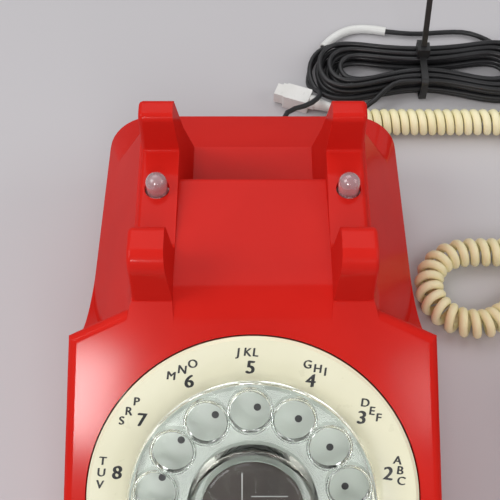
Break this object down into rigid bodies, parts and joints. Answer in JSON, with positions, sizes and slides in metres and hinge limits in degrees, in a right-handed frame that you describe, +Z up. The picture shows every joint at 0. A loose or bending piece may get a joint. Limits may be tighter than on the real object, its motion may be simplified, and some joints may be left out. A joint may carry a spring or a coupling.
{
  "type": "rotary telephone",
  "caption": "Rotary desk telephone with sloping dial, horned cradle, sprung plungers, handset laid beside it, curly cord and tied line cord.",
  "frame": {"origin": "on the table under the middle of the base, at the underside of the middle foot", "axes": "+X to the right, +Y to the back, +Z up; the dial faces the front, towards -Y"},
  "size_m": [0.2424, 0.3816, 0.1105],
  "materials": {
    "red_plastic": "gloss",
    "clear_plastic": "clear gloss",
    "cream_plastic": "satin",
    "pale_paint": "satin",
    "dark_card": "matt",
    "steel": "satin",
    "zinc_plate": "dull plated",
    "chrome": "polished",
    "brass": "satin",
    "bell_metal": "polished",
    "copper_winding": "enamelled",
    "board_green": "satin",
    "black_rubber": "matt",
    "black_plastic": "satin",
    "cream_cord": "satin",
    "cream_rubber": "satin",
    "white_plastic": "satin"
  },
  "bodies": {
    "telephone": {"base_plate": "zinc_plate", "cable_tie": "black_plastic", "capacitor": "white_plastic", "case": "red_plastic", "case_screws": "steel", "circuit_board": "board_green", "clapper_pin": "steel", "cord_sleeve": "white_plastic", "dial_frame": "zinc_plate", "dial_plate": "pale_paint", "dial_screws": "steel", "feet": "black_rubber", "finger_stop": "chrome", "gear_bracket": "zinc_plate", "gong_left": "bell_metal", "gong_right": "bell_metal", "gong_screws": "steel", "governor_cup": "brass", "handset_cord": "cream_cord", "handset_cord_grommet": "cream_rubber", "impulse_springs": "steel", "induction_coil": "copper_winding", "line_cord": "black_plastic", "line_cord_grommet": "black_rubber", "line_cord_hank": "black_plastic", "line_cord_tail": "black_plastic", "line_plug_body": "white_plastic", "line_plug_boot": "white_plastic", "main_spring": "steel", "number_ring": "cream_plastic", "ringer_coils": "copper_winding", "ringer_frame": "zinc_plate", "switch_bracket": "zinc_plate", "switch_contacts": "black_plastic", "switch_pin": "steel", "switch_spring": "steel", "terminal_block": "black_plastic"},
    "dial": {"main_spindle": "steel", "finger_wheel": "clear_plastic", "label_card": "dark_card", "label_cover": "clear_plastic", "wheel_screw": "steel", "main_gear": "brass", "impulse_cam": "black_plastic"},
    "handset": {"handset_handle": "red_plastic", "ear_cap": "red_plastic", "mouth_cap": "red_plastic", "receiver_inset": "zinc_plate", "transmitter_inset": "zinc_plate", "handset_grommet": "cream_rubber"},
    "pinion": {"pinion_shaft": "brass"},
    "governor": {"governor_shaft": "steel"},
    "plunger_l": {"plunger_left": "clear_plastic"},
    "plunger_r": {"plunger_right": "clear_plastic"},
    "yoke": {"switch_lever": "white_plastic"},
    "striker": {"clapper": "steel"}
  },
  "joints": [
    {"name": "dial_turn", "type": "hinge", "parent": "telephone", "child": "dial", "pos_m": [0, -0.057, 0.0535], "axis": [0, 0.5878, -0.809], "range_deg": [0, 285], "stiffness_Nm_per_rad": 0.02, "springref_deg": -34.38},
    {"name": "pinion_spin", "type": "hinge", "parent": "telephone", "child": "pinion", "pos_m": [-0.03, -0.04524, 0.03732], "axis": [0, 0.5878, -0.809], "continuous": true},
    {"name": "governor_spin", "type": "hinge", "parent": "telephone", "child": "governor", "pos_m": [-0.0413, -0.04054, 0.03085], "axis": [0, 0.809, 0.5878], "continuous": true},
    {"name": "plunger_press", "type": "slide", "parent": "telephone", "child": "plunger_l", "axis": [0, 0, -1], "range_m": [0, 0.006], "stiffness_N_per_m": 60, "springref_m": -0.004},
    {"name": "plunger_right_press", "type": "slide", "parent": "telephone", "child": "plunger_r", "axis": [0, 0, -1], "range_m": [0, 0.006]},
    {"name": "yoke_tip", "type": "hinge", "parent": "telephone", "child": "yoke", "pos_m": [0, 0.01, 0.046], "axis": [-1, 0, 0], "range_deg": [0, 14], "deforming": ["switch_spring"]},
    {"name": "clapper_swing", "type": "hinge", "parent": "telephone", "child": "striker", "pos_m": [0, 0.036, 0.02], "axis": [0, 0, 1], "range_deg": [-4.5, 4.5], "stiffness_Nm_per_rad": 0.002},
    {"name": "handset_lift", "type": "slide", "parent": "telephone", "child": "handset", "axis": [0, 0, 1], "range_m": [0, 0.12]}
  ],
  "couplings": [
    {"joint": "pinion_spin", "follows": "dial_turn", "ratio": -4},
    {"joint": "governor_spin", "follows": "dial_turn", "ratio": 24},
    {"joint": "plunger_right_press", "follows": "plunger_press", "ratio": 1},
    {"joint": "yoke_tip", "follows": "plunger_press", "rad_per_m": 39.2}
  ]
}
